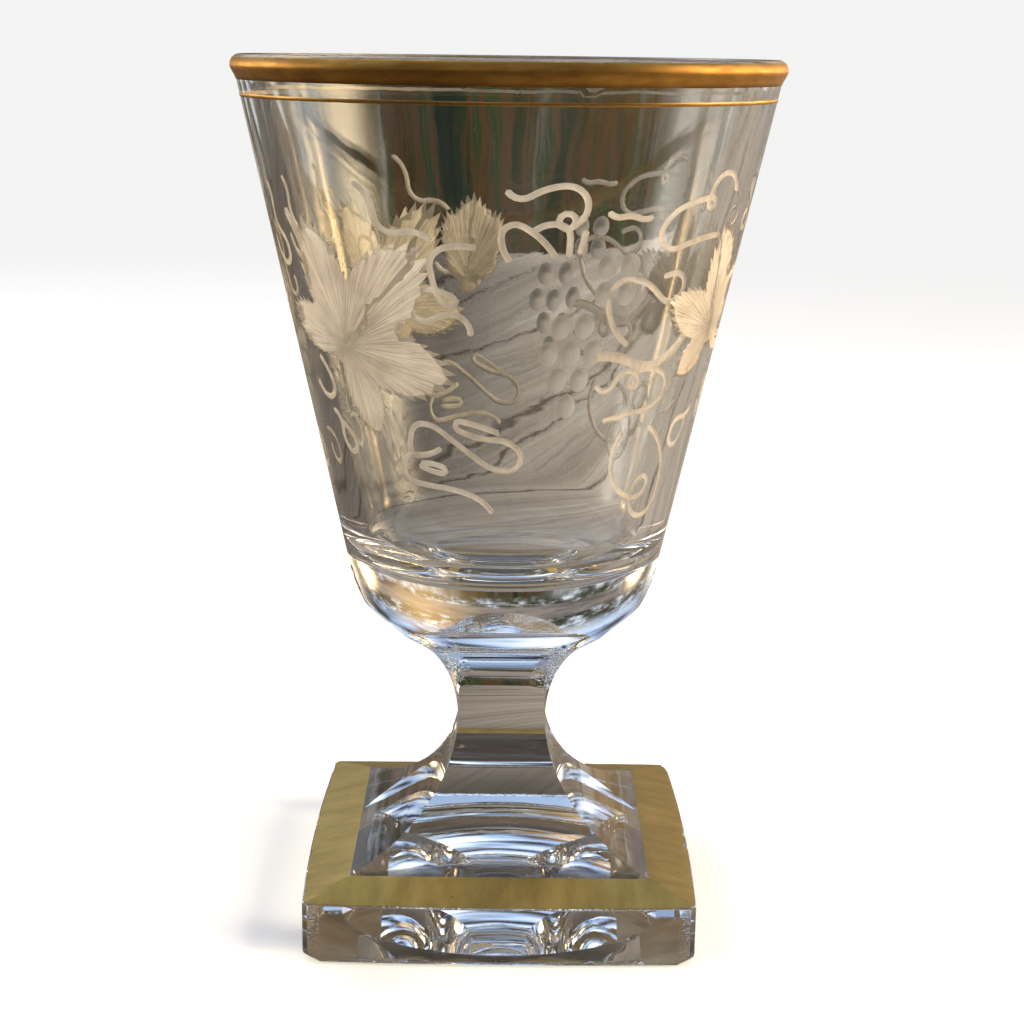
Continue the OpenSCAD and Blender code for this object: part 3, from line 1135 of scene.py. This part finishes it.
def table_material():
    """Weathered boards with open cracks, seen only in and through the glass. The card glows by itself with
    painted light: a painted shadow under the foot, and painted shade towards the left and the near side.
    """
    n = Nodes("table_tone")
    place = n.place()
    bent = n.moved(place, n.times(n.noise(place, 7, 2), 0.05))
    turned = n.add("Mapping", {"Vector": bent, "Rotation": (0, 0, BOARD_TURN)})
    fine = n.noise(n.stretch(turned, (60, 1.2, 1)), 6, 5, 0.65)
    broad = n.noise(n.stretch(turned, (7, 0.6, 1)), 3, 3)
    tone = n.plus(n.times(fine, 0.55), n.times(broad, 0.45))
    colour = n.ramp(tone, (0.34, (0.22, 0.178, 0.142)), (0.47, (0.33, 0.275, 0.222)),
                    (0.56, (0.41, 0.35, 0.285)), (0.66, (0.56, 0.5, 0.42)))
    rough_line = n.moved(turned, n.times(n.noise(place, 26, 3), 0.03))
    crack = n.add("TexVoronoi", {"Vector": n.stretch(rough_line, (7, 0.6, 1)), "Scale": 1}, "Distance",
                  feature="DISTANCE_TO_EDGE")
    split = n.ramp(crack, (0.004, (0.8, 0.8, 0.8)), (0.016, (0, 0, 0)))
    colour = n.blend(split, colour, (0.07, 0.045, 0.03, 1))
    across, away = n.parts(place)["X"], n.parts(place)["Y"]
    # Painted shade: the boards darker to the left and towards the near side
    colour = n.scaled(colour, n.times(n.span(across, *LEFT_TO_RIGHT), n.span(away, *NEAR_TO_FAR)))
    # Painted shadow under and round the foot
    shade = n.span(n.length(place), 0.85, 0.0, *FOOT_SHADE, interpolation_type="SMOOTHSTEP")
    # The boards glow with their painted light; no lamp lights them
    return n.finish(n.shine(n.blend(shade, colour, (0.02, 0.017, 0.015, 1))))


floor = plane("floor", 6, -0.0004, floor_material())
# The table card glows with painted light and painted shade, seen only in and through the glass
table = plane("table_card", 1, -0.0002, table_material())
table.visible_camera = False
table.visible_diffuse = False
table.visible_shadow = False
floor.visible_transmission = False
floor.visible_glossy = False


# Glows in what the glass mirrors and bends: the direction of each, how sharply it fades, and its colour
GLOWS = (
    ((-0.25, 0.8, 0.62), 45, (0.5, 0.5, 0.5)),
    ((0.93, 0.1, 0.22), 36, (8.5, 6.6, 4.2)),
    ((-0.92, 0.25, 0.12), 80, (5.4, 5, 4.4)),
    ((-0.12, -0.95, 0.3), 5, (0.2, 0.17, 0.13)),
    ((0.38, 0.9, 0.2), 40, (0.8, 0.5, 0.2)),
    ((0.75, 0.62, 0.08), 300, (20, 13, 5.5)),
    ((-0.7, 0.66, 0.06), 400, (11, 7.6, 3.8)),
)


# Where the bands of the room start and end, as the height of a direction
LEAVES_UP, BARK_UP, CANOPY_UP, SKY_UP = (0.06, 0.09), (0.105, 0.12), (0.185, 0.2), (0.25, 0.36)


def room_colour(n, toward):
    """Dark trunks, pale at the sides, then bands of leaves, bark, leaves and sky, dimmer on the near side."""
    aside, away, up = n.parts(toward)

    def band(stretch, scale, *stops, detail=4, rough=0.55):
        return n.ramp(n.noise(n.stretch(toward, stretch), scale, detail, rough), *stops)

    dark = band((26, 26, 0.8), 1.2, (0.34, (0.003, 0.004, 0.002)), (0.44, (0.01, 0.022, 0.005)),
                (0.51, (0.085, 0.04, 0.016)), (0.56, (0.01, 0.04, 0.01)), (0.62, (0.11, 0.08, 0.06)),
                (0.7, (0.26, 0.25, 0.21)), detail=6, rough=0.7)
    light = band((9, 9, 0.8), 1.3, (0.34, (0.07, 0.06, 0.05)), (0.5, (0.31, 0.325, 0.335)),
                 (0.64, (0.96, 0.97, 0.97)))
    leaves = band((5, 5, 11), 2.0, (0.38, (0.012, 0.018, 0.009)), (0.47, (0.05, 0.06, 0.04)),
                  (0.53, (0.24, 0.25, 0.25)), (0.58, (0.55, 0.66, 0.8)), (0.66, (1.0, 1.0, 0.98)),
                  detail=6, rough=0.68)
    bark = band((3, 3, 18), 1.5, (0.36, (0.1, 0.08, 0.07)), (0.62, (0.29, 0.255, 0.235)))
    sky = band((1.1, 1.1, 5), 1.3, (0.42, (0.045, 0.034, 0.026)), (0.47, (0.22, 0.34, 0.58)),
               (0.54, (0.58, 0.78, 1.12)), (0.66, (1.05, 1.1, 1.2)), detail=2)
    room = n.blend(n.span(n.math("ABSOLUTE", aside), 0, 1, 0.14, 0.42), dark, light)
    for edges, above in ((LEAVES_UP, leaves), (BARK_UP, bark), (CANOPY_UP, leaves), (SKY_UP, sky)):
        room = n.blend(n.span(up, 0, 1, *edges), room, above)
    return n.scaled(room, n.span(away, 0.15, 1, -0.5, 0.1))


def studio_world():
    """A plain pale backdrop; the glass itself mirrors and bends a dim room, with daylight above."""
    n = Nodes("studio", world=True)
    toward = n.add("TexCoord", {}, "Generated")
    view = room_colour(n, toward)
    for place, sharpness, colour in GLOWS:
        aim = Vector(place).normalized()
        near = n.add("VectorMath", {0: toward, 1: aim}, "Value", operation="DOT_PRODUCT")
        view = n.moved(view, n.scaled(colour, n.math("POWER", n.math("MAXIMUM", near, 0.0), sharpness)))
    ray = n.node("LightPath", {}).outputs
    kind = "Background"
    seen = n.mix(ray["Is Diffuse Ray"], n.shine(view, kind=kind), n.shine((1, 0.985, 0.96, 1), 0.7, kind))
    last = n.mix(ray["Is Camera Ray"], seen, n.shine(BACKDROP, kind=kind))
    scene.world = n.finish(last, "OutputWorld")


studio_world()


# Lamps that are never seen themselves: where each stands, its size, its power and its colour
LAMPS = {
    "key": ((0.75, -0.35, 0.55), (0.25, 0.5), 13, (1, 0.82, 0.58)),
    "fill": ((-0.9, -0.6, 0.8), (0.8, 0.8), 3, (0.86, 0.93, 1)),
    "back": ((-0.5, 0.9, 0.6), (0.5, 0.5), 4, (1, 0.96, 0.96)),
}
LAMP_AIM = Vector((0, 0, 0.07))

for name, (place, size, power, colour) in LAMPS.items():
    lamp = bpy.data.lights.new(name, "AREA")
    lamp.shape = "RECTANGLE"
    lamp.size, lamp.size_y = size
    lamp.energy, lamp.color = power, colour
    thing = placed(name, lamp)
    thing.location = place
    thing.rotation_euler = (LAMP_AIM - Vector(place)).to_track_quat("-Z", "Y").to_euler()
    thing.visible_camera = False
    thing.visible_transmission = False
    thing.visible_glossy = False

EYE = (0, -0.2998, 0.1366)
YAW, PITCH, ROLL = radians(-0.25), radians(-13.63), radians(0.75)
camera_data = bpy.data.cameras.new("camera")
camera_data.lens = 67.6
camera_data.sensor_width = 36
camera_data.clip_start = 0.01
camera = placed("camera", camera_data)
camera.matrix_world = (Matrix.Translation(EYE) @ Matrix.Rotation(YAW, 4, "Z")
                       @ Matrix.Rotation(QUARTER + PITCH, 4, "X") @ Matrix.Rotation(ROLL, 4, "Z"))
scene.camera = camera

cycles = scene.cycles
cycles.max_bounces = 28
cycles.transmission_bounces = 24
cycles.glossy_bounces = 24
cycles.diffuse_bounces = 3
cycles.transparent_max_bounces = 24
cycles.caustics_refractive = False
cycles.caustics_reflective = False
scene.view_settings.view_transform = "Standard"
